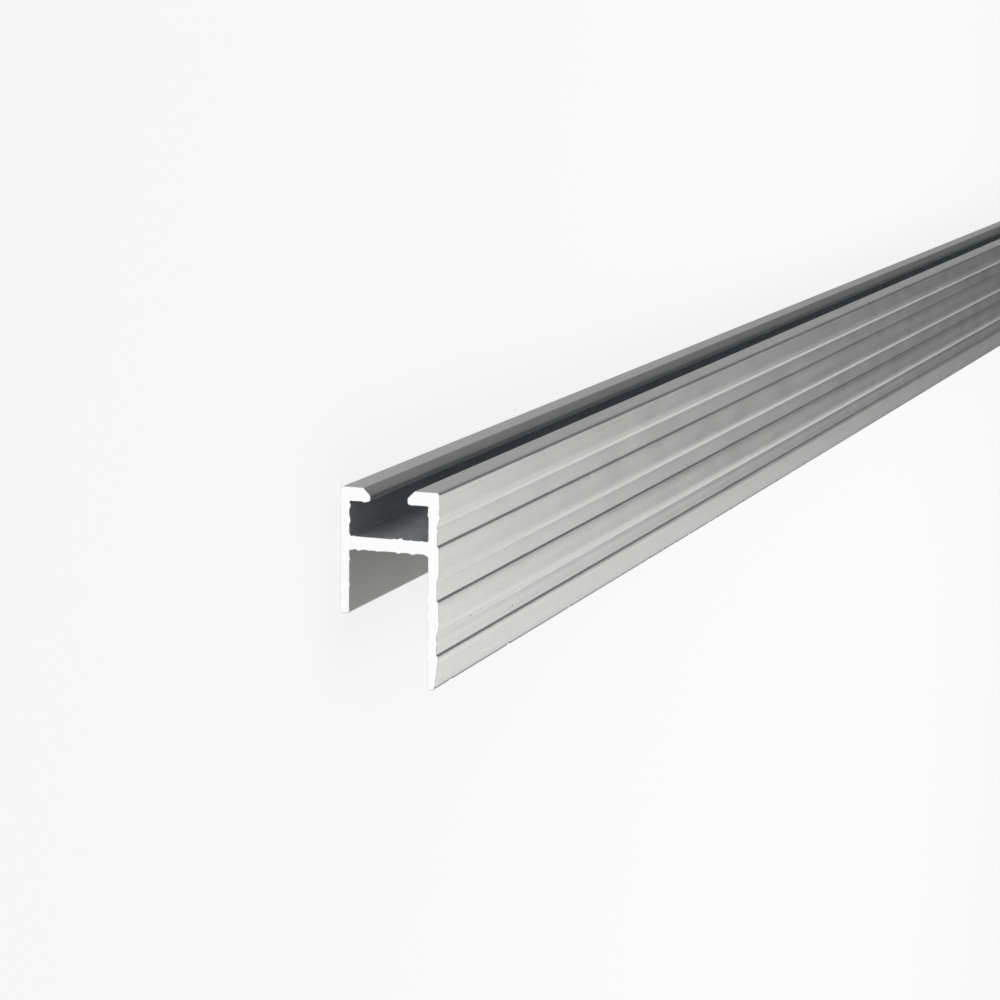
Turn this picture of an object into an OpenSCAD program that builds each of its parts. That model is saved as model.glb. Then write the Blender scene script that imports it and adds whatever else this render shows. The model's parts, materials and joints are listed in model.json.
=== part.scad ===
// Aluminium edging profile for case building: one straight piece of mill finish stock.
// It lies on its plain side with the ribbed side on top. The cover slot, between the lips,
// opens to -X and the board slot, between the legs, opens to +X. The length runs along Y.

/* [Stock] */
// Length of the piece
stock_l = 1000; // [200:50:4000]

/* [Board slot] */
// Clear width between the two legs, for a 9.5 mm case board
board_gap = 10; // [6:0.1:14]
// Thickness of both side walls, measured in the recesses on the ribbed side
wall_t = 1.15; // [1.1:0.05:1.6]
// Width of the plain side, from the lips to the tip of the short leg
plain_w = 15.3; // [12:0.1:19]
// Width of the ribbed side, from the lips to the tip of the long leg
ribbed_w = 23.8; // [23.7:0.1:34]
// Thickness of the web between the two slots
web_t = 1.6; // [1.2:0.1:2.4]

/* [Cover slot] */
// Depth of the slot behind the lips
cover_h = 4.2; // [3:0.1:5.2]
// Thickness of each lip
lip_t = 1.7; // [1.5:0.05:2.2]
// Reach of each lip over the slot
lip_reach = 2.65; // [1.6:0.05:2.8]
// Size of the 45 degree bevel along the outer edge of each lip
lip_bevel = 0.9; // [0.5:0.05:1.1]

/* [Ribs] */
// Number of recesses, with a rib on each side of every one
recess_n = 3; // [1:1:3]
// Height of the ribs above the recesses
rib_h = 0.25; // [0.15:0.01:0.35]
// Distance from the lips to the first recess, to the middle of its flank
rib_first = 3.85; // [3.2:0.01:4]
// Width of each recess, between the middles of its flanks
recess_w = 2.65; // [1.8:0.01:2.75]
// Distance from one recess to the next
rib_pitch = 6.55; // [5.6:0.01:6.6]
// Width of the flank on the lip side of each recess
flank_near = 0.5; // [0.3:0.05:0.8]
// Width of the flank on the tip side of each recess
flank_far = 0.3; // [0.2:0.05:0.5]
// Length of the last rib's taper to the tip of the long leg
tip_taper_l = 3.7; // [1:0.1:3.8]
// Amount the last rib has tapered in at the tip
tip_taper = 0.5; // [0.1:0.05:0.55]

/* [Edges] */
// Radius of the two outer edges along the lips
edge_r = 0.4; // [0.2:0.05:0.6]
// Radius in the corners of the cover slot
cover_r = 0.2; // [0.1:0.05:0.4]
// Radius between the web and the short leg
short_root_r = 0.25; // [0.1:0.05:0.6]
// Radius between the web and the long leg
long_root_r = 0.5; // [0.2:0.05:1]
// Radius on the tip of the short leg
short_tip_r = 0.2; // [0.1:0.05:0.5]
// Radius on the tip of the long leg
long_tip_r = 0.4; // [0.2:0.02:0.44]
// Radius on the nose of each lip, on the slot's side
nose_r = 0.35; // [0.1:0.05:0.5]
// Radius that softens the bevels and the flanks
soft_r = 0.2; // [0.1:0.05:0.3]
// Radius where the last rib's taper starts
taper_r = 1; // [0.2:0.2:1.4]

/* [Hidden] */

recess_z = 2 * wall_t + board_gap;    // height of the recesses' floor
rib_z = recess_z + rib_h;             // height of the ribs
board_z = wall_t + board_gap;         // inner face of the long leg
cover_floor = lip_t + cover_h;        // slot side of the web, from the lips
web_far = cover_floor + web_t;        // board side of the web, from the lips
arc_step = 15;                        // most degrees turned at each point of a rounded edge

// Corner of the section: d is its distance from the lips, z its height and r its radius
function at(d, z, r) = [d - ribbed_w / 2, z, r];

// Corners of the recess that starts at d, from the tip side to the lip side
function recess(d) = [
  at(d + recess_w + flank_far / 2, rib_z, soft_r),
  at(d + recess_w - flank_far / 2, recess_z, soft_r),
  at(d + flank_near / 2, recess_z, soft_r),
  at(d - flank_near / 2, rib_z, soft_r)
];

// The section's corners in order, with the metal on the left
plain_leg = [
  at(0, 0, edge_r),
  at(plain_w, 0, short_tip_r),
  at(plain_w, wall_t, short_tip_r),
  at(web_far, wall_t, short_root_r)
];
long_leg = [
  at(web_far, board_z, long_root_r),
  at(ribbed_w, board_z, long_tip_r),
  at(ribbed_w, rib_z - tip_taper, long_tip_r),
  at(ribbed_w - tip_taper_l, rib_z, taper_r)
];
recesses = [for (i = [recess_n - 1 : -1 : 0], corner = recess(rib_first + i * rib_pitch)) corner];
ribbed_lip = [
  at(0, rib_z, edge_r),
  at(0, board_z - lip_reach + lip_bevel, soft_r),
  at(lip_bevel, board_z - lip_reach, soft_r),
  at(lip_t, board_z - lip_reach, nose_r)
];
cover_slot = [
  at(lip_t, board_z, cover_r),
  at(cover_floor, board_z, cover_r),
  at(cover_floor, wall_t, cover_r),
  at(lip_t, wall_t, cover_r)
];
plain_lip = [
  at(lip_t, wall_t + lip_reach, nose_r),
  at(lip_bevel, wall_t + lip_reach, soft_r),
  at(0, wall_t + lip_reach - lip_bevel, soft_r)
];
corners = concat(plain_leg, long_leg, recesses, ribbed_lip, cover_slot, plain_lip);
last = len(corners) - 1;

function flat(corner) = [corner.x, corner.y];
function unit(v) = v / norm(v);

// Points of the arc that rounds corner b between its neighbours a and c
function rounded(a, b, c) =
  let (
    to_a = unit(flat(a) - flat(b)),
    to_c = unit(flat(c) - flat(b)),
    half = acos(to_a * to_c) / 2,
    centre = flat(b) + unit(to_a + to_c) * b.z / sin(half),
    start = flat(b) + to_a * b.z / tan(half) - centre,
    side = sign(to_a.y * to_c.x - to_a.x * to_c.y),
    turn = side * (180 - 2 * half),
    steps = max(2, ceil(abs(turn) / arc_step))
  )
  [for (i = [0 : steps])
    let (angle = atan2(start.y, start.x) + turn * i / steps)
    centre + b.z * [cos(angle), sin(angle)]];

outline = [
  for (i = [0 : last])
    each rounded(corners[i == 0 ? last : i - 1], corners[i], corners[i == last ? 0 : i + 1])
];

module profile() {
  color([0.78, 0.79, 0.78])
    rotate([90, 0, 0])
      linear_extrude(height = stock_l, center = true)
        polygon(outline);
}

profile();
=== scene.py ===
"""Looks of the aluminium edging profile: a finely built bar over the CAD node, in mill finish."""

import bisect
import json
import math
import random

import bmesh
import bpy
from mathutils import Matrix, Vector, noise


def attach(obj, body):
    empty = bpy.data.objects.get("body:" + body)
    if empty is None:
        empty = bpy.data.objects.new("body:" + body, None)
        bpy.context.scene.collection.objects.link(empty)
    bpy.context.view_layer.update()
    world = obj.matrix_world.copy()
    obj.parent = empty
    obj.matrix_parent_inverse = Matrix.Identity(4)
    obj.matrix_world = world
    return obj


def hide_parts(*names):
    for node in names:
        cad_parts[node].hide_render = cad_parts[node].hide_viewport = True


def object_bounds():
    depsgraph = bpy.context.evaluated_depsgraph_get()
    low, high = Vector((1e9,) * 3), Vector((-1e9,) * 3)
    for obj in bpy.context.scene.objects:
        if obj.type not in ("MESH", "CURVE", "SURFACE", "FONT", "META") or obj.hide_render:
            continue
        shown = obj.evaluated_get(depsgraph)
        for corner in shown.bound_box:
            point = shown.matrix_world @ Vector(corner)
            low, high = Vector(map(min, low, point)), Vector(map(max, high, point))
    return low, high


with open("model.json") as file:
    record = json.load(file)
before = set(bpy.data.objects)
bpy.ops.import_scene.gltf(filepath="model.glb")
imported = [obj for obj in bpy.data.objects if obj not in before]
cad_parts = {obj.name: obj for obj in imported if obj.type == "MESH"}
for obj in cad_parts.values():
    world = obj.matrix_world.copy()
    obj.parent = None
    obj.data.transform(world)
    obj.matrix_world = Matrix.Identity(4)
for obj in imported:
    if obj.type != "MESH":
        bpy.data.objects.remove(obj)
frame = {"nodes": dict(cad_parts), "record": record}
cad_low, cad_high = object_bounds()

MM = 0.001
TINY = 1e-9

# Sawn ends
END_BEVEL = 0.05 * MM             # worn edge round each sawn end
BURR_REACH = 0.35 * MM            # how far from a sawn end its burr starts to turn out
BURR_HEIGHT = 0.2 * MM            # the tallest burr
BURR_GRAIN = 1500                 # noise scale of the ragged edge, per metre
BURR_PATCHES = 350                # noise scale of its rougher and cleaner stretches
BURR_GAIN = 1.6                   # how quickly a burr reaches its full height
SLOT_BURR_START = 0.05            # noise above which a burr stands along the slots
OUTER_BURR_START = 0.3            # and everywhere else
COVER_BURR_SPARE = 0.3 * MM       # what counts as along the cover slot
BOARD_BURR_SPARE = 0.6 * MM       # and along the board slot
BRIGHT_BURR_REACH = 0.15 * MM     # how far a tall burr is as bright as the cut
BRIGHT_BURR_SHARE = 0.45          # and how tall it is for that, as a share of the tallest

# Ribbed face
RIBBED_DEPTH = 0.7 * MM           # how far below the ribs' tops this face goes
LIP_CORNER = 1 * MM               # its start, from the lips' outer face
TIP_CLEAR = 2 * MM                # at the tip of the long leg, where there is no recess
SAME_FLANK = 1 * MM               # corners nearer than this are one flank
START_LEAN = (-0.95, -0.35)       # lean of the flank beyond each recess
END_LEAN = (0.35, 0.6)            # lean of the flank before it
SOFT_START = 0.045 * MM           # how far each rib's edge beyond a recess is drawn in
SOFT_REACH = 0.7 * MM             # and over what width that fades out
SOFT_END = 0.08 * MM              # how far its edge before the next recess is drawn in
SOFT_END_REACH = 0.4 * MM         # and over what width
SOFT_END_LIMIT = 2 * MM           # beyond this nothing is left of it

# Nicks along the tip of the long leg, and dents on the ribbed face
FIRST_NICK = 6 * MM               # from the near end
NICK_CLEAR = 5 * MM               # between the last one and the far end
NICK_SPACING = 6.5 * MM
NICK_GAPS = (0.6, 0.9, 1.2, 1.7, 3.2)            # shares of that spacing
NICK_SHIFT = 0.1                                 # either way off the edge, mm
NICK_HALF_WIDTH = (0.4, 0.6)                     # mm
NICK_HALF_LENGTH = (0.5, 1.2)                    # mm
NICK_DEPTH = (0.12, 0.34)                        # mm
DENTS = 16
DENT_CLEAR = 10 * MM              # between any dent and a sawn end
DENT_HALF_WIDTH = (0.18, 0.3)                    # mm
DENT_HALF_LENGTH = (0.2, 0.4)                    # mm
DENT_DEPTH = (0.03, 0.06)                        # mm
MARK_REACH = 1.3 * MM             # a little more than the longest mark's half length
MARK_CELLS_ACROSS = 2.4           # mesh cells in half a mark, across it
MARK_CELLS_ALONG = 2.6            # and along it
EDGE_SHADE = 0.7                   # painted shade along the outer edges, as a share of a nick's
SHADED_EDGE_WIDTH = 0.3 * MM             # how far from those edges it reaches

# Mesh
STATION_GAP = 40 * MM             # longest cell along the bar
CELL_SLACK = 1.01                 # a cell this little too big isn't split
RIB_CELL = 0.4 * MM               # widest cell across the ribbed face
BURR_CELL = 0.12 * MM             # cells near a sawn end
SLOT_SKIN = 0.22 * MM             # what counts as the cover slot's surface, which gets the painted shade
SMOOTH_ANGLE = math.radians(32)
MILL, SLOT, SAWN = 0, 1, 2        # material slots

# Finishes
MILL_COLOUR = (0.80, 0.81, 0.79)
# painted shade: the cover slot's inside is coloured dark for the shade that falls in the enclosed slot
SLOT_SHADE_COLOUR = (0.33, 0.355, 0.375)
SAWN_COLOUR = (0.97, 0.97, 0.97)
FLOOR_COLOUR = (0.20, 0.20, 0.20, 1)
FLOOR_GLOW = 0.80                 # keeps the floor pale and its shadows faint

# Soft light from all round. Each lobe has the direction it comes from, the cosines of the angles off it
# where it starts and where it is full, and its strength.
LOBES = (((1, 0, 0), 0.0, 0.4, 0.41),            # beyond the tip of the long leg
         ((-1, 0, 0), -0.1, 0.5, 0.11),          # faint, all round the lips
         ((-1, 0, 0), 0.32, 0.8, 0.42),          # straight onto the lips
         ((-0.5, 0, -0.87), 0.0, 0.6, 0.31),     # from below the lips
         ((0, -1, 0), 0.7, 0.95, 1.66),          # onto the near sawn end
         ((0, 0, 1), 0.55, 0.9, 0.3))            # from above

cover_slot = next(o for o in frame["record"]["physics"]["openings"] if o["name"] == "cover_slot")
board_slot = next(o for o in frame["record"]["physics"]["openings"] if o["name"] == "board_slot")


# ---------------------------------------------------------------- section of the bar
def end_outline(node):
    """Corners (x, z) of the CAD node's near end, with the metal on the left."""
    mesh = node.data
    near = min(v.co.y for v in mesh.vertices)
    following = {}
    for face in mesh.polygons:
        if abs(face.normal.y) > 0.5:
            continue
        ids = list(face.vertices)
        for a, b in zip(ids, ids[1:] + ids[:1]):
            pa, pb = mesh.vertices[a].co, mesh.vertices[b].co
            if abs(pa.y - near) < 1e-6 and abs(pb.y - near) < 1e-6:
                following[round(pa.x, 7), round(pa.z, 7)] = (round(pb.x, 7), round(pb.z, 7))
    corners = [next(iter(following))]
    while following[corners[-1]] != corners[0]:
        corners.append(following[corners[-1]])
    corners = [Vector(c) for c in corners]
    area = sum(a.x * b.y - a.y * b.x for a, b in zip(corners, corners[1:] + corners[:1]))
    return corners if area > 0 else corners[::-1]


class Section:
    """The section's outline, measured by the distance s round it."""

    def __init__(self, corners):
        self.corners = corners + corners[:1]
        self.s = [0.0]
        for a, b in zip(corners, self.corners[1:]):
            self.s.append(self.s[-1] + (b - a).length)
        self.round = self.s[-1]
        sides = [(b - a).normalized() for a, b in zip(corners, self.corners[1:])]
        normals = [Vector((d.y, -d.x)) for d in sides]
        self.side_normals = normals
        self.corner_normals = [(normals[i - 1] + normals[i]).normalized() for i in range(len(corners))]
        self.corner_normals.append(self.corner_normals[0])

    def place(self, s):
        """(point, outward normal) of the outline at s."""
        i = min(max(bisect.bisect_right(self.s, s) - 1, 0), len(self.s) - 2)
        t = (s - self.s[i]) / (self.s[i + 1] - self.s[i])
        point = self.corners[i].lerp(self.corners[i + 1], t)
        if t < 1e-6:
            return point, self.corner_normals[i]
        if t > 1 - 1e-6:
            return point, self.corner_normals[i + 1]
        return point, self.side_normals[i]

    def nearest(self, x, z):
        """Distance round the outline of the point on it that is nearest to (x, z)."""
        target, best = Vector((x, z)), (1e9, 0)
        for i, (a, b) in enumerate(zip(self.corners, self.corners[1:])):
            t = max(0, min(1, (target - a).dot(b - a) / (b - a).length_squared))
            best = min(best, ((a.lerp(b, t) - target).length, self.s[i] + t * (b - a).length))
        return best[1]


section = Section(end_outline(frame["nodes"]["profile"]))
near_y, far_y = cad_low.y, cad_high.y


def on_ribs(x, z):
    return z > cad_high.z - RIBBED_DEPTH and cad_low.x + LIP_CORNER < x


def flanks(low, high):
    """x of each flank on the ribbed face whose normal leans along x by between low and high."""
    found = []
    for a, normal in sorted(zip(section.corners, section.side_normals), key=lambda side: side[0].x):
        if low < normal.x < high and normal.y > 0 and on_ribs(a.x, a.y) and a.x < cad_high.x - TIP_CLEAR:
            if found and a.x - found[-1] < SAME_FLANK:
                found[-1] = a.x
            else:
                found.append(a.x)
    return found


def between(value, low, high, spare):
    return low - spare <= value <= high + spare


def in_box(point, opening, spare):
    """Whether a point of the section bounds that opening."""
    low, high = opening["box_m"]
    return between(point.x, low[0], high[0], spare) and between(point.y, low[2], high[2], spare)


# ---------------------------------------------------------------- marks on the bar
class Mark:
    """A small dent, centred at s round the section and y along the bar."""

    def __init__(self, s, y, half_s, half_y, depth):
        self.s, self.y, self.half_s, self.half_y, self.depth = s, y, half_s, half_y, depth

    def reaches(self, s0, s1, y0, y1):
        return (s0 < self.s + self.half_s and s1 > self.s - self.half_s
                and y0 < self.y + self.half_y and y1 > self.y - self.half_y)

    def sinks(self, s, y):
        across, along = (s - self.s) / self.half_s, (y - self.y) / self.half_y
        r2 = across * across + along * along
        return self.depth * (1 - r2) ** 2 if r2 < 1 else 0.0


tip_edge = section.nearest(cad_high.x + 1.0 * MM, cad_high.z + 0.3 * MM)
lip_edge = section.nearest(cad_low.x - 1.0 * MM, cad_low.z - 1.0 * MM)


def tip_nicks():
    """Nicks that handling has left along the outer edge of the long leg's tip, unevenly spaced."""
    y, nicks = near_y + FIRST_NICK, []
    while y < far_y - NICK_CLEAR:
        nicks.append(Mark(tip_edge + random.uniform(-NICK_SHIFT, NICK_SHIFT) * MM, y,
                          random.uniform(*NICK_HALF_WIDTH) * MM, random.uniform(*NICK_HALF_LENGTH) * MM,
                          random.uniform(*NICK_DEPTH) * MM))
        y += NICK_SPACING * random.choice(NICK_GAPS)
    return nicks


def rib_dents():
    """A few small dents scattered over the ribbed face."""
    low, high = (section.nearest(x, cad_high.z) for x in (cad_low.x + 2 * MM, cad_high.x - 4 * MM))
    return [Mark(random.uniform(low, high), random.uniform(near_y + DENT_CLEAR, far_y - DENT_CLEAR),
                 random.uniform(*DENT_HALF_WIDTH) * MM, random.uniform(*DENT_HALF_LENGTH) * MM,
                 random.uniform(*DENT_DEPTH) * MM) for _ in range(DENTS)]


random.seed(7)
marks = sorted(tip_nicks() + rib_dents(), key=lambda mark: mark.y)
mark_ys = [mark.y for mark in marks]
rib_starts = flanks(*START_LEAN)
rib_ends = flanks(*END_LEAN)


def near_marks(y, span=MARK_REACH):
    return marks[bisect.bisect_left(mark_ys, y - span):bisect.bisect_right(mark_ys, y + span)]


# ---------------------------------------------------------------- the bar's surface
def burr(s, end):
    """Height of the saw's burr at a sawn end: ragged along the slots' edges, slight elsewhere."""
    point, _ = section.place(s)
    inside = in_box(point, cover_slot, COVER_BURR_SPARE) or in_box(point, board_slot, BOARD_BURR_SPARE)
    ragged = noise.noise(Vector((point.x, point.y, end)) * BURR_GRAIN)
    patches = noise.noise(Vector((point.x, point.y, end + 3)) * BURR_PATCHES)
    height = max(0, ragged + 0.5 * patches - (SLOT_BURR_START if inside else OUTER_BURR_START))
    return min(1, height * BURR_GAIN) * BURR_HEIGHT


def soft_edges(point):
    """How far the ribbed face is drawn in at that point of the section, by its ribs' rounded edges."""
    if not on_ribs(point.x, point.y):
        return 0.0
    after = [point.x - x for x in rib_starts if point.x >= x]
    drawn = SOFT_START * math.exp(-min(after) / SOFT_REACH) if after else 0.0
    for x in rib_ends:
        if abs(point.x - x) < SOFT_END_LIMIT:
            drawn += SOFT_END * math.exp(-((point.x - x + SOFT_END_REACH) / SOFT_END_REACH) ** 2)
    return drawn


def surface(s, y):
    """Place of a mesh vertex at s round the section and y along the bar."""
    point, normal = section.place(s)
    to_end = min(y - near_y, far_y - y)
    out = 0.0
    if to_end < END_BEVEL:
        out -= END_BEVEL - to_end
    if to_end < BURR_REACH:
        out += burr(s, 0 if y < 0 else 1) * (1 - to_end / BURR_REACH) ** 2
    for mark in near_marks(y):
        out -= mark.sinks(s, y)
    out -= soft_edges(point)
    point = point + normal * out
    return Vector((point.x, y, point.y))


# ---------------------------------------------------------------- the bar's mesh
def wanted_size(s0, s1, y0, y1):
    """Largest mesh cell (round, along) for a patch of the bar."""
    to_end = min(y0 - near_y, far_y - y1)
    if to_end < BURR_REACH - TINY:
        return BURR_CELL, BURR_CELL
    for mark in near_marks((y0 + y1) / 2, (y1 - y0) / 2 + MARK_REACH):
        if mark.reaches(s0, s1, y0, y1):
            return mark.half_s / MARK_CELLS_ACROSS, mark.half_y / MARK_CELLS_ALONG
    middle, _ = section.place((s0 + s1) / 2)
    return RIB_CELL if on_ribs(middle.x, middle.y) else 1, STATION_GAP


def cells():
    """Patches (s0, s1, y0, y1) of the bar, split until each is as small as its place wants."""
    stations = [near_y, near_y + END_BEVEL, near_y + BURR_REACH]
    stations += [-y for y in reversed(stations)]
    todo = [(s0, s1, y0, y1) for s0, s1 in zip(section.s, section.s[1:])
            for y0, y1 in zip(stations, stations[1:])]
    done = []
    while todo:
        s0, s1, y0, y1 = todo.pop()
        round_, along = wanted_size(s0, s1, y0, y1)
        if y1 - y0 > along * CELL_SLACK:
            middle = (y0 + y1) / 2
            todo += [(s0, s1, y0, middle), (s0, s1, middle, y1)]
        elif s1 - s0 > round_ * CELL_SLACK:
            middle = (s0 + s1) / 2
            todo += [(s0, middle, y0, y1), (middle, s1, y0, y1)]
        else:
            done.append((s0, s1, y0, y1))
    return done


def key(value):
    return round(value * 1e8)


def round_key(s):
    """Key of a place round the section, where the end is the start again."""
    return 0 if key(s) == key(section.round) else key(s)


def borders(patches):
    """The vertices on every line along the bar, and on every line round it."""
    along_s, along_y = {}, {}
    for s0, s1, y0, y1 in patches:
        for s in (s0, s1):
            for y in (y0, y1):
                along_s.setdefault(round_key(s), {})[key(y)] = y
                along_y.setdefault(key(y), {})[key(s)] = s
    for line in along_y.values():
        if 0 in line or key(section.round) in line:
            line[0], line[key(section.round)] = 0.0, section.round
    along_s = {k: sorted(v.values()) for k, v in along_s.items()}
    along_y = {k: sorted(v.values()) for k, v in along_y.items()}
    return along_s, along_y


def steps(line, low, high):
    """The places on a sorted line from low to high."""
    return line[bisect.bisect_left(line, low - TINY):bisect.bisect_right(line, high + TINY)]


def finish_of(s0, s1, y0, y1):
    """Material slot of a patch."""
    end = 0 if y0 < 0 else 1
    to_end = min(y0 - near_y, far_y - y1)
    if to_end < BRIGHT_BURR_REACH and burr((s0 + s1) / 2, end) > BRIGHT_BURR_SHARE * BURR_HEIGHT:
        return SAWN
    middle, _ = section.place((s0 + s1) / 2)
    # the cover slot's inside gets the material with painted shade
    return SLOT if in_box(middle, cover_slot, SLOT_SKIN) else MILL


class BarMesh:
    """The bar's faces. Each is bordered by every vertex of its neighbours, so that none gapes."""

    def __init__(self, patches):
        self.along_s, self.along_y = borders(patches)
        self.bm = bmesh.new()
        self.painted_shade = self.bm.verts.layers.float.new("painted_shade")
        self.made = {}

    def vertex(self, s, y):
        name = (round_key(s), key(y))
        if name not in self.made:
            corner = self.bm.verts.new(surface(s, y))
            # painted shade, kept with each vertex: along the outer edges, and deepest at the bottom of each
            # nick and dent
            edge_shade = EDGE_SHADE if min(abs(s - tip_edge), abs(s - lip_edge)) < SHADED_EDGE_WIDTH else 0.0
            corner[self.painted_shade] = edge_shade + sum(mark.sinks(s, y) / mark.depth for mark in near_marks(y))
            self.made[name] = corner
        return self.made[name]

    def add_patch(self, s0, s1, y0, y1):
        ring = [self.vertex(s, y0) for s in steps(self.along_y[key(y0)], s0, s1)]
        ring += [self.vertex(s1, y) for y in steps(self.along_s[round_key(s1)], y0, y1)[1:]]
        ring += [self.vertex(s, y1) for s in reversed(steps(self.along_y[key(y1)], s0, s1)[:-1])]
        ring += [self.vertex(s0, y) for y in reversed(steps(self.along_s[round_key(s0)], y0, y1)[1:-1])]
        face = self.bm.faces.new(ring)
        face.material_index = finish_of(s0, s1, y0, y1)
        face.smooth = True

    def add_end(self, y):
        ring = [self.vertex(s, y) for s in self.along_y[key(y)][:-1]]
        face = self.bm.faces.new(ring if y > 0 else ring[::-1])
        face.material_index = SAWN
        face.smooth = False


def flat_faces_first(bar):
    """Shade the flats as flat, and let only the rounded edges between them turn."""
    weighted = bar.modifiers.new("flat_faces_first", "WEIGHTED_NORMAL")
    weighted.mode = "FACE_AREA"
    weighted.weight = 80
    weighted.keep_sharp = True


def build_bar():
    patches = cells()
    shape = BarMesh(patches)
    for patch in patches:
        shape.add_patch(*patch)
    for y in (near_y, far_y):
        shape.add_end(y)
    bmesh.ops.recalc_face_normals(shape.bm, faces=shape.bm.faces[:])
    mesh = bpy.data.meshes.new("sawn_bar")
    shape.bm.to_mesh(mesh)
    shape.bm.free()
    mesh.set_sharp_from_angle(angle=SMOOTH_ANGLE)
    bar = bpy.data.objects.new("sawn_bar", mesh)
    bpy.context.scene.collection.objects.link(bar)
    flat_faces_first(bar)
    return bar


# ---------------------------------------------------------------- materials
class Nodes:
    """A material's node tree, built by short calls."""

    def __init__(self, name):
        self.material = bpy.data.materials.new(name)
        self.material.use_nodes = True
        self.tree = self.material.node_tree
        self.shader = self.tree.nodes["Principled BSDF"]
        self.place = self.tree.nodes.new("ShaderNodeTexCoord").outputs["Object"]

    def put(self, socket, value):
        if isinstance(value, bpy.types.NodeSocket):
            self.tree.links.new(value, socket)
        else:
            socket.default_value = value

    def stretched(self, scale):
        """Object coordinates, stretched by a scale for each axis."""
        node = self.tree.nodes.new("ShaderNodeMapping")
        node.inputs["Scale"].default_value = scale
        self.put(node.inputs["Vector"], self.place)
        return node.outputs["Vector"]

    def noise(self, scale, detail=2.0, roughness=0.5):
        node = self.tree.nodes.new("ShaderNodeTexNoise")
        node.inputs["Scale"].default_value = 1.0
        node.inputs["Detail"].default_value = detail
        node.inputs["Roughness"].default_value = roughness
        self.put(node.inputs["Vector"], self.stretched(scale))
        return node.outputs["Fac"]

    def remap(self, value, low, high, to_low, to_high):
        node = self.tree.nodes.new("ShaderNodeMapRange")
        for name, number in zip(("From Min", "From Max", "To Min", "To Max"), (low, high, to_low, to_high)):
            node.inputs[name].default_value = number
        self.put(node.inputs["Value"], value)
        return node.outputs["Result"]

    def spread(self, value, to_low, to_high):
        """Noise, which lies mostly between 0.3 and 0.7, spread over another range."""
        return self.remap(value, 0.3, 0.7, to_low, to_high)

    def maths(self, operation, a, b):
        node = self.tree.nodes.new("ShaderNodeMath")
        node.operation = operation
        self.put(node.inputs[0], a)
        self.put(node.inputs[1], b)
        return node.outputs["Value"]

    def shade(self, colour, factor):
        """colour, made lighter or darker by factor."""
        node = self.tree.nodes.new("ShaderNodeVectorMath")
        node.operation = "SCALE"
        node.inputs[0].default_value = colour
        self.put(node.inputs["Scale"], factor)
        return node.outputs["Vector"]

    def attribute(self, name):
        node = self.tree.nodes.new("ShaderNodeAttribute")
        node.attribute_name = name
        return node.outputs["Fac"]

    def bump(self, height, strength, distance):
        node = self.tree.nodes.new("ShaderNodeBump")
        node.inputs["Strength"].default_value = strength
        node.inputs["Distance"].default_value = distance
        self.put(node.inputs["Height"], height)
        return node.outputs["Normal"]


def extruded(name, colour, roughness, metallic, mottle):
    """Mill finish: straight die lines along the bar, faint mottling, a satin shine, and painted shade in
    the nicks and dents and along the outer edges.
    """
    n = Nodes(name)
    lines = n.noise((2600, 0.35, 2600), 3.0, 0.65)       # fine die lines, along y
    bands = n.noise((420, 0.5, 420), 1.0)                # broader ones
    cloud = n.noise((260, 110, 260), 4.0, 0.6)           # mottling
    grain = n.noise((2600, 1700, 2600), 2.0, 0.7)
    tone = n.maths("ADD", n.spread(lines, -0.035, 0.035), n.spread(bands, -0.012, 0.012))
    tone = n.maths("ADD", tone, n.spread(cloud, 1 - mottle, 1 + mottle / 2))
    tone = n.maths("ADD", tone, n.spread(grain, -mottle, mottle))
    # painted shade: darker in the nicks and dents and along the outer edges
    tone = n.maths("MULTIPLY", tone, n.remap(n.attribute("painted_shade"), 0.1, 0.8, 1.0, 0.35))
    n.put(n.shader.inputs["Base Color"], n.shade(colour, tone))
    n.shader.inputs["Metallic"].default_value = metallic
    rough = n.spread(cloud, roughness + 0.03, roughness - 0.02)
    n.put(n.shader.inputs["Roughness"], n.maths("ADD", rough, n.spread(lines, -0.03, 0.03)))
    relief = n.maths("ADD", n.maths("MULTIPLY", grain, 0.4), lines)
    n.put(n.shader.inputs["Normal"], n.bump(relief, 0.12, 0.02 * MM))
    return n.material


def mill_aluminium():
    return extruded("mill_aluminium", MILL_COLOUR, roughness=0.36, metallic=1.0, mottle=0.04)


def slot_painted_shade():
    """Inside the cover slot: dull metal, with a dark colour that is painted shade for the shade that falls
    in the enclosed slot.
    """
    return extruded("slot_painted_shade", SLOT_SHADE_COLOUR, roughness=0.6, metallic=0.45, mottle=0.15)


def sawn_aluminium():
    """The saw's cut: bright, with fine marks across the section."""
    n = Nodes("sawn_aluminium")
    cuts = n.noise((500, 1, 6500), 2.0, 0.6)
    n.put(n.shader.inputs["Base Color"], n.shade(SAWN_COLOUR, n.spread(cuts, 0.97, 1.03)))
    n.shader.inputs["Metallic"].default_value = 0.55
    n.put(n.shader.inputs["Roughness"], n.spread(cuts, 0.5, 0.6))
    n.put(n.shader.inputs["Normal"], n.bump(cuts, 0.25, 0.01 * MM))
    return n.material


def pale_floor():
    n = Nodes("pale_floor")
    n.shader.inputs["Base Color"].default_value = FLOOR_COLOUR
    n.shader.inputs["Roughness"].default_value = 0.9
    n.shader.inputs["Specular IOR Level"].default_value = 0.1
    n.shader.inputs["Emission Color"].default_value = (1, 1, 1, 1)
    n.shader.inputs["Emission Strength"].default_value = FLOOR_GLOW
    return n.material


bar = build_bar()
bar.data.materials.append(mill_aluminium())
bar.data.materials.append(slot_painted_shade())
bar.data.materials.append(sawn_aluminium())
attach(bar, "root")
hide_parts("profile")


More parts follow.
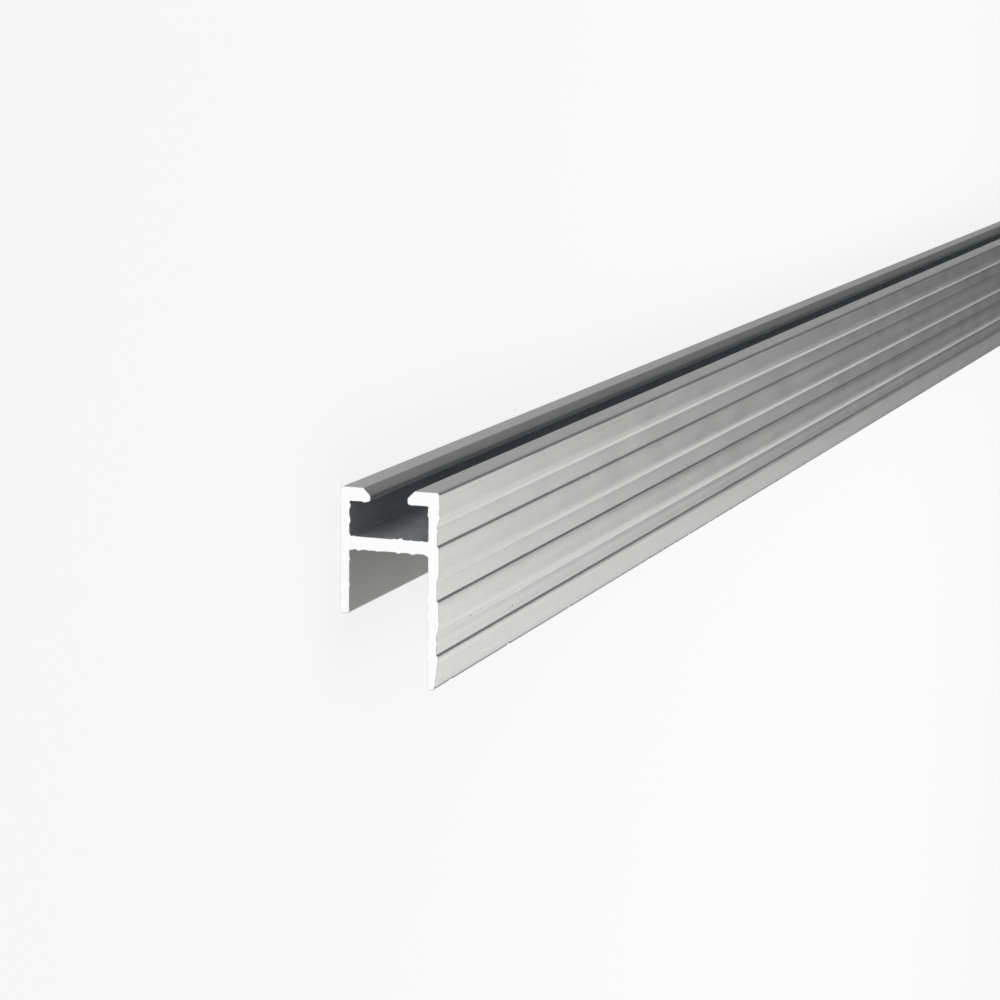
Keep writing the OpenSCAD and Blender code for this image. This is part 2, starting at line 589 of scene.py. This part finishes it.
# ---------------------------------------------------------------- floor and light
def make_floor():
    """A wide pale floor that the metal doesn't mirror, so that its tones come from the lights alone."""
    bm = bmesh.new()
    bmesh.ops.create_circle(bm, cap_ends=True, segments=96, radius=14)
    mesh = bpy.data.meshes.new("floor")
    bm.to_mesh(mesh)
    bm.free()
    floor = bpy.data.objects.new("floor", mesh)
    bpy.context.scene.collection.objects.link(floor)
    floor.data.materials.append(pale_floor())
    floor.visible_glossy = False
    floor.visible_diffuse = False


def area_light(name, place, aim, side, power):
    light = bpy.data.lights.new(name, "AREA")
    light.shape = "RECTANGLE"
    light.size, light.size_y = side, side
    light.energy = power
    lamp = bpy.data.objects.new(name, light)
    bpy.context.scene.collection.objects.link(lamp)
    lamp.location = place
    lamp.rotation_euler = (Vector(aim) - Vector(place)).to_track_quat("-Z", "Y").to_euler()


def lobe(tree, direction, aim, start, full, strength):
    """Light that is full round one direction and fades out away from it."""
    cosine = tree.nodes.new("ShaderNodeVectorMath")
    cosine.operation = "DOT_PRODUCT"
    cosine.inputs[1].default_value = aim
    tree.links.new(direction, cosine.inputs[0])
    fade = tree.nodes.new("ShaderNodeMapRange")
    fade.interpolation_type = "SMOOTHSTEP"
    for name, number in zip(("From Min", "From Max", "To Min", "To Max"), (start, full, 0, strength)):
        fade.inputs[name].default_value = number
    tree.links.new(cosine.outputs["Value"], fade.inputs["Value"])
    return fade.outputs["Result"]


def studio_world():
    """The lobes light the metal; the camera itself sees plain white behind the floor."""
    world = bpy.data.worlds.new("studio")
    bpy.context.scene.world = world
    world.use_nodes = True
    tree = world.node_tree
    direction = tree.nodes.new("ShaderNodeTexCoord").outputs["Generated"]
    total = lobe(tree, direction, *LOBES[0])
    for shape in LOBES[1:]:
        add = tree.nodes.new("ShaderNodeMath")
        add.operation = "ADD"
        tree.links.new(total, add.inputs[0])
        tree.links.new(lobe(tree, direction, *shape), add.inputs[1])
        total = add.outputs["Value"]
    seen = tree.nodes.new("ShaderNodeMix")
    tree.links.new(tree.nodes.new("ShaderNodeLightPath").outputs["Is Camera Ray"], seen.inputs["Factor"])
    tree.links.new(total, seen.inputs["A"])
    seen.inputs["B"].default_value = 1.0
    tree.links.new(seen.outputs["Result"], tree.nodes["Background"].inputs["Strength"])
    tree.nodes["Background"].inputs["Color"].default_value = (1, 1, 1, 1)


make_floor()
studio_world()
area_light("over_light", (0.10, -0.25, 0.35), aim=(0, near_y + 0.05, 0), side=0.4, power=0.66)
area_light("tip_light", (0.40, 0.55, 0.24), aim=(0, near_y + 0.2, 0), side=0.4, power=0.17)


# ---------------------------------------------------------------- camera
def make_camera():
    """The photograph's view: the near end faces the camera, which looks down on the lips."""
    yaw, pitch, roll = (math.radians(a) for a in (-19.499, 9.939, 0.680))
    focal = 3.07214                              # in image widths
    offset = Vector((-0.061425, -0.331933, 0.137595))    # from the lips' outer corner on the plain side
    # Directions in the upright frame of the photograph: across the section, along the bar, up the legs.
    forward = Vector((math.sin(yaw) * math.cos(pitch), math.cos(yaw) * math.cos(pitch), -math.sin(pitch)))
    level = Vector((math.cos(yaw), -math.sin(yaw), 0))
    upright = level.cross(forward)
    right = math.cos(roll) * level + math.sin(roll) * upright
    up = math.cos(roll) * upright - math.sin(roll) * level
    lie_down = Matrix(((0, 0, -1), (0, 1, 0), (1, 0, 0)))
    camera = bpy.data.objects.new("camera", bpy.data.cameras.new("camera"))
    bpy.context.scene.collection.objects.link(camera)
    turn = Matrix((lie_down @ right, lie_down @ up, -(lie_down @ forward))).transposed()
    at = offset + Vector((cad_low.x, near_y, cad_low.z))
    camera.matrix_world = Matrix.Translation(at) @ turn.to_4x4()
    camera.data.sensor_width = 36
    camera.data.lens = 36 * focal
    camera.data.clip_start, camera.data.clip_end = 0.01, 40
    bpy.context.scene.camera = camera


make_camera()
bpy.context.scene.view_settings.view_transform = "Standard"
